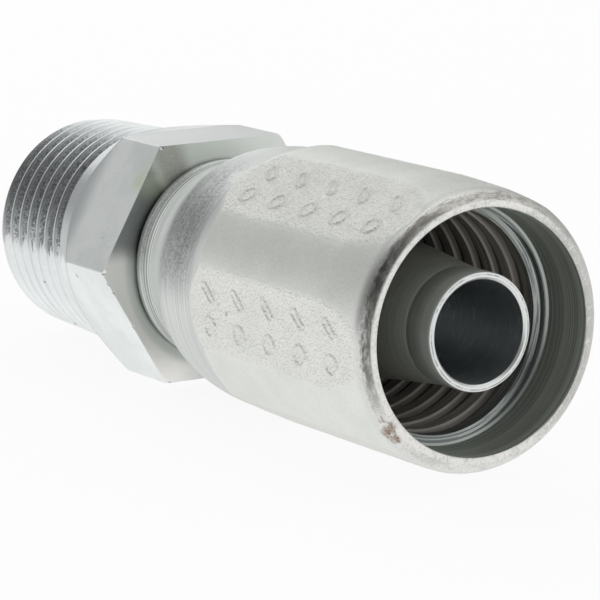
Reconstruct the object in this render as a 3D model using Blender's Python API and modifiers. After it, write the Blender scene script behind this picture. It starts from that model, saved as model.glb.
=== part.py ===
"""Reusable hose fitting: a nipple with a tapered pipe thread, and the socket that screws over the hose.

The fitting lies along X with its mouth towards +X and one flat of the nipple's hexagon facing down.
Stations are measured back from the rim of the mouth, so each turned profile is read from the mouth to
the pipe thread. All sizes are millimetres and become metres where the meshes are made.
"""
import math

import bmesh
import bpy

MM = 0.001

# Pipe end of the nipple: a half inch tapered thread, 14 turns to the inch.
PIPE_PITCH = 25.4 / 14
PIPE_TAPER = 1 / 32
PIPE_CREST_RADIUS = 10.60
PIPE_THREAD_LENGTH = 14.5
PIPE_GROOVE_DEPTH = 1.10
PIPE_GROOVE_ROOT = 0.18
PIPE_END_CHAMFER = 0.60
PIPE_BORE_CHAMFER = 0.5
PIPE_GROOVE_START = 0.35
PIPE_RUN_OUT_TURNS = 1.2
THREAD_FLANK_ANGLE = math.radians(30)

# Hexagon of the nipple.
HEX_ACROSS_FLATS = 22.0
HEX_LENGTH = 6.9
HEX_NEAR_CHAMFER_RADIUS = 12.45
HEX_NEAR_CHAMFER_ANGLE = math.radians(30)
HEX_FAR_CHAMFER_ANGLE = math.radians(60)
HEX_BLANK_MARGIN = 0.3

# Hose end of the nipple.
BORE_RADIUS = 4.45
TIP_RECESS = 0.5
TIP_RADIUS = 5.08
TIP_EDGE = 0.22
TIP_BORE_CHAMFER = 0.17
PARALLEL_LENGTH = 3.5
TAIL_RADIUS = 6.3
TAIL_TAPER_ANGLE = math.radians(6.2)
SCREW_THREAD_RADIUS = 7.5
SCREW_RELIEF_RADIUS = 6.9
SCREW_RELIEF_LENGTH = 1.6
SCREW_LEAD = 3.0
SCREW_CHAMFER = 0.6

# Socket, outside.
SOCKET_ACROSS_FLATS = 23.7
SOCKET_BODY_RADIUS = 12.5
NOSE_RADIUS = 12.05
NOSE_CHAMFER_LENGTH = 1.0
NOSE_LENGTH = 5.9
RIM_OUTER_RADIUS = 11.02
BODY_END = 25.8
SHOULDER_EDGE_LENGTH = 2.2
SHOULDER_EDGE_RADIUS = 11.9
SHOULDER_LENGTH = 8.8
SHOULDER_STEPS = 7
SHOULDER_FULLNESS = 0.8
NECK_RADIUS = 9.05
COLLAR_RADIUS = 9.3
COLLAR_LENGTH = 2.2
COLLAR_EDGE = 0.25
SOCKET_LENGTH = 41.5
SOCKET_TURN = math.radians(-32.8)

# Socket, inside.
MOUTH_RADIUS = 10.5
MOUTH_DEPTH = 5.4
HOSE_CREST_RADIUS = 9.7
HOSE_THREAD_END = 26.0
HOSE_PITCH = 2.8
HOSE_GROOVE_DEPTH = 0.65
HOSE_GROOVE_ROOT = 0.7
HOSE_RELIEF_LENGTH = 2.6
HOSE_RELIEF_DEPTH = 0.1
HOSE_LEAD_IN = 0.5
HOSE_GROOVE_START = 0.6
HOSE_FLOOR_ANGLE = math.radians(30)

# Running clearance of the screwed joint, and the gap between the socket's end and the hexagon.
SCREW_CLEARANCE = 0.2
END_GAP = 0.6

ROUND_STEPS = 48
FLATS_OVERHANG = 2.0
GROOVE_OVERSHOOT = 0.6
MERGE = 0.00001

SCREW_BORE_RADIUS = SCREW_THREAD_RADIUS + SCREW_CLEARANCE
HEX_START = SOCKET_LENGTH + END_GAP
HEX_CORNER_RADIUS = HEX_ACROSS_FLATS / 2 / math.cos(math.pi / 6)
PIPE_THREAD_START = HEX_START + HEX_LENGTH + (
    (HEX_CORNER_RADIUS - PIPE_CREST_RADIUS) * math.tan(HEX_FAR_CHAMFER_ANGLE)
)
TOTAL_LENGTH = PIPE_THREAD_START + PIPE_THREAD_LENGTH
AXIS_HEIGHT = SOCKET_BODY_RADIUS


def clear_scene():
    """Remove every object the file opened with."""
    for item in list(bpy.data.objects):
        bpy.data.objects.remove(item, do_unlink=True)


def new_collection(name):
    """Make a collection under the scene."""
    group = bpy.data.collections.new(name)
    bpy.context.scene.collection.children.link(group)
    return group


def plated_steel(name, color, roughness):
    """Make a zinc plated steel material."""
    material = bpy.data.materials.new(name)
    material.use_nodes = True
    shader = material.node_tree.nodes["Principled BSDF"]
    shader.inputs["Base Color"].default_value = (*color, 1)
    shader.inputs["Metallic"].default_value = 1
    shader.inputs["Roughness"].default_value = roughness
    return material


def profile_object(name, points, group, closed=True):
    """Make a flat outline at +X from (radius, station) points in millimetres."""
    mesh = bpy.data.meshes.new(name)
    shape = bmesh.new()
    verts = [shape.verts.new((radius * MM, 0, station * MM)) for radius, station in points]
    last = len(verts) if closed else len(verts) - 1
    for index in range(last):
        shape.edges.new((verts[index], verts[(index + 1) % len(verts)]))
    shape.to_mesh(mesh)
    shape.free()
    item = bpy.data.objects.new(name, mesh)
    group.objects.link(item)
    return item


def turn(item):
    """Turn an outline once round the local Z axis."""
    screw = item.modifiers.new("Turned", "SCREW")
    screw.axis = "Z"
    screw.angle = math.tau
    screw.steps = ROUND_STEPS
    screw.render_steps = ROUND_STEPS
    screw.use_merge_vertices = True
    screw.merge_threshold = MERGE
    screw.use_normal_calculate = True


def hex_prism(name, across_flats, first, last, turn_angle, group):
    """Make a hexagonal prism round the local Z axis, with a flat facing local X before it is turned."""
    bpy.ops.mesh.primitive_cylinder_add(
        vertices=6,
        radius=across_flats / 2 / math.cos(math.pi / 6) * MM,
        depth=(last - first) * MM,
    )
    item = bpy.context.object
    item.name = name
    for vertex in item.data.vertices:
        x, y, z = vertex.co
        vertex.co = (
            x * math.cos(turn_angle) - y * math.sin(turn_angle),
            x * math.sin(turn_angle) + y * math.cos(turn_angle),
            z + (first + last) / 2 * MM,
        )
    for owner in list(item.users_collection):
        owner.objects.unlink(item)
    group.objects.link(item)
    return item


def groove_outline(crest, depth, root, overshoot):
    """Outline of one V groove: its root lies depth away from the crest and it passes overshoot beyond it.

    A positive depth cuts inwards into a shaft and a negative one cuts outwards into a bore.
    """
    side = 1 if depth > 0 else -1
    half_root = root / 2
    half_crest = half_root + abs(depth) * math.tan(THREAD_FLANK_ANGLE)
    return [
        (crest - depth, -half_root),
        (crest - depth, half_root),
        (crest, half_crest),
        (crest + side * overshoot, half_crest),
        (crest + side * overshoot, -half_crest),
        (crest, -half_crest),
    ]


def groove_cutter(name, outline, pitch, first, last, left_hand, group):
    """Wind a groove outline into a capped helix that runs from the first station to the last."""
    turns = math.ceil((last - first) / pitch)
    flat = profile_object(name + "_outline", outline, group)
    screw = flat.modifiers.new("Helix", "SCREW")
    screw.axis = "Z"
    screw.angle = -math.tau if left_hand else math.tau
    screw.screw_offset = pitch * MM
    screw.iterations = turns
    screw.steps = ROUND_STEPS
    screw.render_steps = ROUND_STEPS
    screw.use_merge_vertices = False
    screw.use_normal_calculate = True
    graph = bpy.context.evaluated_depsgraph_get()
    mesh = bpy.data.meshes.new_from_object(flat.evaluated_get(graph))
    bpy.data.objects.remove(flat, do_unlink=True)
    shape = bmesh.new()
    shape.from_mesh(mesh)
    bmesh.ops.remove_doubles(shape, verts=shape.verts, dist=MERGE)
    bmesh.ops.holes_fill(shape, edges=[edge for edge in shape.edges if edge.is_boundary], sides=0)
    bmesh.ops.recalc_face_normals(shape, faces=shape.faces)
    for vertex in shape.verts:
        vertex.co.z += first * MM
    shape.to_mesh(mesh)
    shape.free()
    mesh.name = name
    item = bpy.data.objects.new(name, mesh)
    group.objects.link(item)
    return item


def taper_cutter(item, start, slope, run_out):
    """Draw a helix in with the pipe taper, and lift it out of the metal beside the hexagon."""
    for vertex in item.data.vertices:
        x, y, z = vertex.co
        radius = math.hypot(x, y)
        station = z / MM
        shift = -(station - start) * slope
        if station < start + run_out:
            shift += (start + run_out - station) * PIPE_GROOVE_DEPTH / run_out
        scale = (radius + shift * MM) / radius
        vertex.co = (x * scale, y * scale, z)


def boolean(item, cutter, operation):
    """Cut an object by another, or keep what they share."""
    step = item.modifiers.new(cutter.name, "BOOLEAN")
    step.operation = operation
    step.object = cutter
    step.solver = "EXACT"


def hide_cutter(item):
    """Show a cutter as wire only."""
    item.hide_render = True
    item.display_type = "WIRE"


def lay_along_x(item):
    """Lay a piece turned round local Z along X, with its station zero at the mouth."""
    item.rotation_euler = (0, -math.pi / 2, 0)
    item.location = (TOTAL_LENGTH / 2 * MM, 0, AXIS_HEIGHT * MM)


def shade(item):
    """Shade the turned faces smooth and keep the real edges sharp."""
    item.data.shade_smooth()
    item.data.set_sharp_from_angle(angle=math.radians(25))


def shoulder_points():
    """Convex turned shoulder, a quarter of an ellipse from the forged body down to the neck."""
    first = BODY_END + SHOULDER_EDGE_LENGTH
    last = first + SHOULDER_LENGTH
    points = []
    for index in range(SHOULDER_STEPS + 1):
        angle = math.pi / 2 * (1 - index / SHOULDER_STEPS)
        rise = math.sin(angle) ** SHOULDER_FULLNESS
        radius = NECK_RADIUS + (SHOULDER_EDGE_RADIUS - NECK_RADIUS) * rise
        points.append((radius, first + (last - first) * math.cos(angle)))
    return points


def build_socket(parts, cutters):
    """Turn the socket, cut its wrench flats and cut the coarse left hand thread that grips the hose."""
    collar_start = SOCKET_LENGTH - COLLAR_LENGTH
    relief_radius = HOSE_CREST_RADIUS + HOSE_GROOVE_DEPTH + HOSE_RELIEF_DEPTH
    relief_end = HOSE_THREAD_END + HOSE_RELIEF_LENGTH
    floor_end = relief_end + (relief_radius - SCREW_BORE_RADIUS) * math.tan(HOSE_FLOOR_ANGLE)
    outside = [
        (RIM_OUTER_RADIUS, 0),
        (NOSE_RADIUS, NOSE_CHAMFER_LENGTH),
        (SOCKET_BODY_RADIUS, NOSE_LENGTH),
        (SOCKET_BODY_RADIUS, BODY_END),
        *shoulder_points(),
        (NECK_RADIUS, collar_start - COLLAR_EDGE),
        (COLLAR_RADIUS, collar_start),
        (COLLAR_RADIUS, SOCKET_LENGTH - COLLAR_EDGE),
        (COLLAR_RADIUS - COLLAR_EDGE, SOCKET_LENGTH),
    ]
    inside = [
        (SCREW_BORE_RADIUS + COLLAR_EDGE, SOCKET_LENGTH),
        (SCREW_BORE_RADIUS, SOCKET_LENGTH - COLLAR_EDGE),
        (SCREW_BORE_RADIUS, floor_end),
        (relief_radius, relief_end),
        (relief_radius, HOSE_THREAD_END),
        (HOSE_CREST_RADIUS, HOSE_THREAD_END - HOSE_LEAD_IN),
        (HOSE_CREST_RADIUS, MOUTH_DEPTH + HOSE_LEAD_IN),
        (MOUTH_RADIUS, MOUTH_DEPTH),
        (MOUTH_RADIUS, 0),
    ]
    socket = profile_object("socket", list(reversed(outside)) + list(reversed(inside)), parts)
    turn(socket)
    flats = hex_prism(
        "socket_flats",
        SOCKET_ACROSS_FLATS,
        -FLATS_OVERHANG,
        SOCKET_LENGTH + FLATS_OVERHANG,
        SOCKET_TURN,
        cutters,
    )
    boolean(socket, flats, "INTERSECT")
    grip = groove_cutter(
        "hose_thread",
        groove_outline(HOSE_CREST_RADIUS, -HOSE_GROOVE_DEPTH, HOSE_GROOVE_ROOT, GROOVE_OVERSHOOT),
        HOSE_PITCH,
        MOUTH_DEPTH - HOSE_PITCH * HOSE_GROOVE_START,
        HOSE_THREAD_END - HOSE_PITCH * HOSE_GROOVE_START,
        True,
        cutters,
    )
    boolean(socket, grip, "DIFFERENCE")
    lay_along_x(socket)
    socket.data.materials.append(plated_steel("socket_plating", (0.74, 0.76, 0.74), 0.42))
    shade(socket)
    for cutter in (flats, grip):
        cutter.rotation_euler = socket.rotation_euler
        cutter.location = socket.location
        hide_cutter(cutter)


def build_nipple(parts, cutters):
    """Turn the nipple, mill its hexagon and cut its tapered pipe thread."""
    tip_end = TIP_RECESS + PARALLEL_LENGTH
    taper_end = tip_end + (TAIL_RADIUS - TIP_RADIUS) / math.tan(TAIL_TAPER_ANGLE)
    relief_end = HOSE_THREAD_END + HOSE_RELIEF_LENGTH
    screw_start = relief_end + SCREW_LEAD
    screw_end = HEX_START - SCREW_RELIEF_LENGTH
    blank_radius = max(HEX_CORNER_RADIUS, HEX_NEAR_CHAMFER_RADIUS) + HEX_BLANK_MARGIN
    chamfer = math.tan(HEX_NEAR_CHAMFER_ANGLE)
    far_edge = HEX_START + HEX_LENGTH - (blank_radius - HEX_CORNER_RADIUS) * math.tan(
        HEX_FAR_CHAMFER_ANGLE
    )
    end_radius = PIPE_CREST_RADIUS - PIPE_THREAD_LENGTH * PIPE_TAPER
    outside = [
        (BORE_RADIUS + TIP_BORE_CHAMFER, TIP_RECESS),
        (TIP_RADIUS - TIP_EDGE, TIP_RECESS),
        (TIP_RADIUS, TIP_RECESS + TIP_EDGE),
        (TIP_RADIUS, tip_end),
        (TAIL_RADIUS, taper_end),
        (TAIL_RADIUS, screw_start - SCREW_CHAMFER * 2),
        (SCREW_THREAD_RADIUS - SCREW_CHAMFER, screw_start - SCREW_CHAMFER),
        (SCREW_THREAD_RADIUS, screw_start),
        (SCREW_THREAD_RADIUS, screw_end - SCREW_CHAMFER),
        (SCREW_RELIEF_RADIUS, screw_end),
        (SCREW_RELIEF_RADIUS, HEX_START),
        (HEX_NEAR_CHAMFER_RADIUS, HEX_START),
        (blank_radius, HEX_START + (blank_radius - HEX_NEAR_CHAMFER_RADIUS) * chamfer),
        (blank_radius, far_edge),
        (PIPE_CREST_RADIUS, PIPE_THREAD_START),
        (end_radius, TOTAL_LENGTH - PIPE_END_CHAMFER),
        (end_radius - PIPE_END_CHAMFER, TOTAL_LENGTH),
        (BORE_RADIUS + PIPE_BORE_CHAMFER, TOTAL_LENGTH),
        (BORE_RADIUS, TOTAL_LENGTH - PIPE_BORE_CHAMFER),
        (BORE_RADIUS, TIP_RECESS + TIP_BORE_CHAMFER),
    ]
    nipple = profile_object("nipple", list(reversed(outside)), parts)
    turn(nipple)
    wrench_hex = hex_prism(
        "nipple_hex", HEX_ACROSS_FLATS, -FLATS_OVERHANG, TOTAL_LENGTH + FLATS_OVERHANG, 0, cutters
    )
    boolean(nipple, wrench_hex, "INTERSECT")
    pipe = groove_cutter(
        "pipe_thread",
        groove_outline(PIPE_CREST_RADIUS, PIPE_GROOVE_DEPTH, PIPE_GROOVE_ROOT, GROOVE_OVERSHOOT),
        PIPE_PITCH,
        PIPE_THREAD_START + PIPE_PITCH * PIPE_GROOVE_START,
        TOTAL_LENGTH + PIPE_PITCH * PIPE_GROOVE_START,
        False,
        cutters,
    )
    taper_cutter(pipe, PIPE_THREAD_START, PIPE_TAPER, PIPE_PITCH * PIPE_RUN_OUT_TURNS)
    boolean(nipple, pipe, "DIFFERENCE")
    lay_along_x(nipple)
    nipple.data.materials.append(plated_steel("nipple_plating", (0.75, 0.77, 0.78), 0.36))
    shade(nipple)
    for cutter in (wrench_hex, pipe):
        cutter.rotation_euler = nipple.rotation_euler
        cutter.location = nipple.location
        hide_cutter(cutter)


def main():
    clear_scene()
    parts = new_collection("reusable_hose_fitting")
    cutters = new_collection("cutters")
    build_socket(parts, cutters)
    build_nipple(parts, cutters)


main()
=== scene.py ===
"""Looks of the reusable hose fitting: its forged socket and turned nipple, on a white table."""

import math

import bmesh
import bpy
from mathutils import Matrix, Vector, noise


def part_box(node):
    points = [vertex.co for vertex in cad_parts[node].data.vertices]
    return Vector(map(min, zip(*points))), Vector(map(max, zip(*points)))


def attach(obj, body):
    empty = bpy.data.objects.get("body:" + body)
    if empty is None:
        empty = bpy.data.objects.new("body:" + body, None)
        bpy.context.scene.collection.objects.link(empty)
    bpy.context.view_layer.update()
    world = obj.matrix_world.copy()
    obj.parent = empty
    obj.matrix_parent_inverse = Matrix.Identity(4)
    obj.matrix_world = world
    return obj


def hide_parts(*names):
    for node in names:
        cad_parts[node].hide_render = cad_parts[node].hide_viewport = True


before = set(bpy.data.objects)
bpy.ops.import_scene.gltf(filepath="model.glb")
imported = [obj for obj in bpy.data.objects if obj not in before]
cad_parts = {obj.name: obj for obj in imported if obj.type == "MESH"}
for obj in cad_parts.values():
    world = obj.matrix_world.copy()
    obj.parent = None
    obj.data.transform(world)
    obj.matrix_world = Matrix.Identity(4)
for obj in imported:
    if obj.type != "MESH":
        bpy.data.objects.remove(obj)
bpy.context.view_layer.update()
bpy.ops.object.select_all(action="DESELECT")

MM = 0.001
AXIS_HEIGHT = 0.0125

# Camera: a long lens a little above the mouth end, looking down the fitting towards its pipe thread.
CAMERA_PLACE = (0.27969, -0.17014, 0.07458)
CAMERA_RIGHT = Vector((0.5288, 0.84861, -0.01506))
CAMERA_DOWN = Vector((0.15668, -0.11504, -0.98093))
CAMERA_FORWARD = Vector((-0.83416, 0.51635, -0.1938))
CAMERA_LENS = 221.76
CAMERA_SENSOR = 36
CAMERA_CLIP = 0.01

bpy.ops.object.camera_add()
camera = bpy.context.object
camera.name = "camera"
camera.data.lens = CAMERA_LENS
camera.data.sensor_width = CAMERA_SENSOR
camera.data.clip_start = CAMERA_CLIP
camera_turn = Matrix((CAMERA_RIGHT, -CAMERA_DOWN, -CAMERA_FORWARD)).transposed().to_4x4()
camera.matrix_world = Matrix.Translation(CAMERA_PLACE) @ camera_turn
bpy.context.scene.camera = camera
bpy.context.scene.view_settings.view_transform = "Standard"

# Table and room: a white sheet under the fitting in an evenly white room. The fitting rests on the round
# band of its socket and on the flat of its hexagon, so the sheet rises a little towards the pipe thread.
SHEET_TOUCH_X = 0.0078
SHEET_LIFT = 0.0015
SHEET_LIFT_LENGTH = 0.0262
SHEET_RISE = math.atan2(SHEET_LIFT, SHEET_LIFT_LENGTH)
SHEET_SIZE = 6.0
SHEET_TONE = (0.96, 0.96, 0.96, 1)
SHEET_ROUGHNESS = 0.9
SHEET_SHADOW_SHARE = 0.10
ROOM_FILL = 0.85
WHITE = (1, 1, 1, 1)

world = bpy.data.worlds.new("white_room")
bpy.context.scene.world = world
world.use_nodes = True
room = world.node_tree
room_fill = room.nodes["Background"]
room_fill.inputs["Color"].default_value = WHITE
room_fill.inputs["Strength"].default_value = ROOM_FILL
room_seen = room.nodes.new("ShaderNodeBackground")
room_seen.inputs["Color"].default_value = WHITE
room_seen.inputs["Strength"].default_value = 1


def seen_ray(tree):
    """Value 1 for camera, glossy and transmission rays, in a material's or the world's node tree."""
    path = tree.nodes.new("ShaderNodeLightPath")
    total = tree.nodes.new("ShaderNodeMath")
    total.operation = "ADD"
    tree.links.new(path.outputs["Is Camera Ray"], total.inputs[0])
    tree.links.new(path.outputs["Is Glossy Ray"], total.inputs[1])
    more = tree.nodes.new("ShaderNodeMath")
    more.operation = "ADD"
    more.use_clamp = True
    tree.links.new(total.outputs[0], more.inputs[0])
    tree.links.new(path.outputs["Is Transmission Ray"], more.inputs[1])
    return more.outputs[0]


room_mix = room.nodes.new("ShaderNodeMixShader")
room.links.new(seen_ray(room), room_mix.inputs[0])
room.links.new(room_fill.outputs[0], room_mix.inputs[1])
room.links.new(room_seen.outputs[0], room_mix.inputs[2])
room.links.new(room_mix.outputs[0], room.nodes["World Output"].inputs[0])

bpy.ops.mesh.primitive_plane_add(size=SHEET_SIZE)
sheet = bpy.context.object
sheet.name = "table_sheet"
sheet.matrix_world = Matrix.Translation((SHEET_TOUCH_X, 0, 0)) @ Matrix.Rotation(SHEET_RISE, 4, "Y")
bpy.ops.object.transform_apply(location=True, rotation=True, scale=True)
sheet_paper = bpy.data.materials.new("white_paper")
sheet_paper.use_nodes = True
paper = sheet_paper.node_tree
paper_shader = paper.nodes["Principled BSDF"]
paper_shader.inputs["Base Color"].default_value = SHEET_TONE
paper_shader.inputs["Roughness"].default_value = SHEET_ROUGHNESS
paper_shader.inputs["Specular IOR Level"].default_value = 0
paper_glow = paper.nodes.new("ShaderNodeEmission")
paper_share = paper.nodes.new("ShaderNodeMath")
paper_share.operation = "MULTIPLY"
paper_share.inputs[1].default_value = 1 - SHEET_SHADOW_SHARE
paper.links.new(seen_ray(paper), paper_share.inputs[0])
paper_mix = paper.nodes.new("ShaderNodeMixShader")
paper.links.new(paper_share.outputs[0], paper_mix.inputs[0])
paper.links.new(paper_shader.outputs[0], paper_mix.inputs[1])
paper.links.new(paper_glow.outputs[0], paper_mix.inputs[2])
paper.links.new(paper_mix.outputs[0], paper.nodes["Material Output"].inputs[0])
sheet.data.materials.append(sheet_paper)

# Grey cards round the table, as a photographer sets them: they are only seen in the metal, where they
# give the forged bands, the thread and the mouth their darker tones.
CARDS = (
    ("card_front", (0.62, -0.36, 0.48), 1.00, 0.10),
    ("card_left", (-0.70, -0.30, 0.62), 1.25, 0.52),
    ("card_side", (0.02, -0.78, 0.40), 0.80, 0.20),
    ("card_back", (-0.45, 0.75, 0.50), 1.00, 0.50),
)


def grey_card(name, place, size, tone):
    """Stand a square card of one tone at a place, facing the middle of the fitting."""
    bpy.ops.object.select_all(action="DESELECT")
    bpy.ops.mesh.primitive_plane_add(size=size)
    card = bpy.context.object
    card.name = name
    facing = (Vector((0, 0, AXIS_HEIGHT)) - Vector(place)).to_track_quat("Z", "Y")
    card.matrix_world = Matrix.Translation(place) @ facing.to_matrix().to_4x4()
    bpy.ops.object.transform_apply(location=True, rotation=True, scale=True)
    board = bpy.data.materials.new(name + "_board")
    board.use_nodes = True
    glow = board.node_tree.nodes.new("ShaderNodeEmission")
    glow.inputs["Color"].default_value = (tone, tone, tone, 1)
    glow.inputs["Strength"].default_value = 1
    board.node_tree.links.new(glow.outputs[0], board.node_tree.nodes["Material Output"].inputs[0])
    card.data.materials.append(board)
    card.visible_camera = False
    card.visible_diffuse = False
    card.visible_shadow = False


for card_name, card_place, card_size, card_tone in CARDS:
    grey_card(card_name, card_place, card_size, card_tone)

# A soft square lamp high over the pipe end.
LAMP_PLACE = (-0.50, 0.02, 0.345)
LAMP_SIZE = 0.24
LAMP_ENERGY = 0.20

bpy.ops.object.light_add(type="AREA", location=LAMP_PLACE)
lamp = bpy.context.object
lamp.name = "soft_lamp"
lamp.data.shape = "SQUARE"
lamp.data.size = LAMP_SIZE
lamp.data.energy = LAMP_ENERGY
lamp.rotation_euler = (Vector((0, 0, 0)) - lamp.location).to_track_quat("-Z", "Y").to_euler()

# Socket: one steel forging, turned afterwards at the nose, the shoulder, the neck and inside.
# Its six flats keep the hammered forging skin, with rounded bands between them; zinc plated all over.
RIM_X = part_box("socket")[1].x
MERGE = 0.000004

RIM_INNER = 10.5
RIM_OUTER = 11.02
RIM_EDGE = 0.07
RIM_CURVE = [
    (11.09, 0.06),
    (11.25, 0.17),
    (11.41, 0.29),
    (11.56, 0.42),
    (11.70, 0.56),
    (11.82, 0.71),
    (11.92, 0.87),
    (12.00, 1.05),
    (12.06, 1.25),
    (12.10, 1.45),
]
NOSE_END = 5.9
BODY_RADIUS = 12.5
BODY_END = 25.8
SHOULDER_START = 28.0
SHOULDER_RADIUS = 11.9
SHOULDER_LENGTH = 8.8
SHOULDER_FULLNESS = 0.8
SHOULDER_ROWS = 20
NECK_RADIUS = 9.05
COLLAR_RADIUS = 9.3
COLLAR_START = 39.3
COLLAR_STEP = 0.25
SOCKET_END = 41.86
COLLAR_ROUND = 0.10
COLLAR_EDGE = 0.06
FLAT_DISTANCE = 11.95
FLATS_TURN = math.radians(-32.8)
NECK_BORE = 7.7
GRIP_CREST = 9.7
GRIP_RELIEF = 10.45
GRIP_RELIEF_START = 26.0
GRIP_RELIEF_END = 28.6
GRIP_LEAD = 0.5
FLOOR_SLOPE = math.tan(math.radians(30))
MOUTH_DEPTH = 5.4
SOCKET_STEPS = 312
SKIN_ROW = 0.23
TURNED_ROW = 0.4


def along(first, last, spacing):
    """Points of a straight stretch of outline, not more than a spacing apart, without its last point."""
    count = max(1, math.ceil(math.dist(first, last) / spacing))
    return [
        (
            first[0] + (last[0] - first[0]) * index / count,
            first[1] + (last[1] - first[1]) * index / count,
        )
        for index in range(count)
    ]


def on_fitting(radius, station):
    """Place of an outline point above the axis: its station counts back from the rim of the mouth."""
    return Vector((RIM_X - station * MM, 0, AXIS_HEIGHT + radius * MM))


def pick(*items):
    """Select some objects and nothing else. The first becomes the active one."""
    bpy.ops.object.select_all(action="DESELECT")
    for item in items:
        item.select_set(True)
    bpy.context.view_layer.objects.active = items[0]


def on_axis(place):
    """Radius of a point round the fitting's axis, and its station, in millimetres."""
    return math.hypot(place.y, place.z - AXIS_HEIGHT) / MM, (RIM_X - place.x) / MM


def turned_piece(name, outline, steps):
    """Draw a closed outline point by point and spin it once round the fitting's axis."""
    bpy.ops.object.select_all(action="DESELECT")
    bpy.ops.mesh.primitive_plane_add(size=MM)
    piece = bpy.context.object
    piece.name = name
    piece.data.name = name
    bpy.ops.object.mode_set(mode="EDIT")
    bpy.ops.mesh.select_mode(type="VERT")
    bpy.ops.mesh.select_all(action="SELECT")
    bpy.ops.mesh.merge(type="CENTER")
    bpy.ops.transform.translate(value=on_fitting(*outline[0]))
    for here, there in zip(outline, outline[1:] + outline[:1]):
        step = on_fitting(*there) - on_fitting(*here)
        bpy.ops.mesh.extrude_region_move(TRANSFORM_OT_translate={"value": step})
    bpy.ops.mesh.select_all(action="SELECT")
    bpy.ops.mesh.remove_doubles(threshold=MERGE)
    bpy.ops.mesh.spin(
        steps=steps, angle=math.tau, center=(0, 0, AXIS_HEIGHT), axis=(1, 0, 0), dupli=False
    )
    bpy.ops.mesh.select_all(action="SELECT")
    bpy.ops.mesh.remove_doubles(threshold=MERGE)
    bpy.ops.mesh.normals_make_consistent(inside=False)
    bpy.ops.object.mode_set(mode="OBJECT")
    return piece


shoulder = []
for index in range(SHOULDER_ROWS):
    sweep = math.pi / 2 * (1 - index / SHOULDER_ROWS)
    rise = math.sin(sweep) ** SHOULDER_FULLNESS
    shoulder.append(
        (
            NECK_RADIUS + (SHOULDER_RADIUS - NECK_RADIUS) * rise,
            SHOULDER_START + SHOULDER_LENGTH * math.cos(sweep),
        )
    )
neck_start = (NECK_RADIUS, SHOULDER_START + SHOULDER_LENGTH)
socket_outside = [
    (RIM_INNER + RIM_EDGE, 0),
    (RIM_OUTER - RIM_EDGE, 0),
    *RIM_CURVE,
    *along(RIM_CURVE[-1], (BODY_RADIUS, NOSE_END), SKIN_ROW)[1:],
    *along((BODY_RADIUS, NOSE_END), (BODY_RADIUS, BODY_END), SKIN_ROW),
    *along((BODY_RADIUS, BODY_END), (SHOULDER_RADIUS, SHOULDER_START), SKIN_ROW),
    *shoulder,
    *along(neck_start, (NECK_RADIUS, COLLAR_START - COLLAR_STEP), TURNED_ROW),
    (NECK_RADIUS, COLLAR_START - COLLAR_STEP),
    (COLLAR_RADIUS - COLLAR_EDGE, COLLAR_START - COLLAR_EDGE),
    (COLLAR_RADIUS, COLLAR_START),
    (COLLAR_RADIUS, SOCKET_END - COLLAR_ROUND),
    (COLLAR_RADIUS - COLLAR_ROUND, SOCKET_END),
]
floor_end = GRIP_RELIEF_END + (GRIP_RELIEF - NECK_BORE) * FLOOR_SLOPE
socket_inside = [
    (NECK_BORE + COLLAR_STEP, SOCKET_END),
    (NECK_BORE, SOCKET_END - COLLAR_STEP),
    (NECK_BORE, floor_end),
    (GRIP_RELIEF, GRIP_RELIEF_END),
    (GRIP_RELIEF, GRIP_RELIEF_START),
    (GRIP_CREST, GRIP_RELIEF_START - GRIP_LEAD),
    (GRIP_CREST, MOUTH_DEPTH + GRIP_LEAD),
    (RIM_INNER, MOUTH_DEPTH),
    (RIM_INNER, RIM_EDGE),
]
socket = turned_piece("forged_socket", socket_outside + socket_inside, SOCKET_STEPS)

# The coarse left hand thread that grips the hose, and the machine thread behind it, cut as grooves.
GRIP_PITCH = 2.8
GRIP_DEPTH = 0.50
GRIP_ROOT = 0.9
GRIP_SHIFT = 0.6
NECK_THREAD_PITCH = 1.5
NECK_THREAD_DEPTH = 0.55
NECK_THREAD_ROOT = 0.12
NECK_THREAD_LEAD = 1
NECK_THREAD_PASS = 0.5
SCREW_THREAD_STOP = 0.2
FLANK = math.radians(30)
CUTTER_OVERSHOOT = 0.6
THREAD_STEPS = 96


def thread_cutter(name, crest, depth, root, pitch, first, last, left_hand):
    """Wind a V groove's outline into a helix along the axis. A negative depth cuts out into a bore."""
    side = math.copysign(CUTTER_OVERSHOOT, depth)
    root_half = root / 2
    crest_half = root_half + abs(depth) * math.tan(FLANK)
    outline = [
        (crest - depth, -root_half),
        (crest - depth, root_half),
        (crest, crest_half),
        (crest + side, crest_half),
        (crest + side, -crest_half),
        (crest, -crest_half),
    ]
    bpy.ops.object.select_all(action="DESELECT")
    bpy.ops.mesh.primitive_circle_add(vertices=len(outline), radius=MM, fill_type="NGON")
    cutter = bpy.context.object
    cutter.name = name
    for vertex, (radius, offset) in zip(cutter.data.vertices, outline):
        vertex.co = (-(first + offset) * MM, 0, radius * MM)
    winding = cutter.modifiers.new("winding", "SCREW")
    winding.axis = "X"
    winding.angle = math.tau if left_hand else -math.tau
    winding.screw_offset = -pitch * MM
    winding.iterations = math.ceil((last - first) / pitch)
    winding.steps = THREAD_STEPS
    winding.render_steps = THREAD_STEPS
    winding.use_merge_vertices = False
    bpy.ops.object.modifier_apply(modifier=winding.name)
    return cutter


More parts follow.
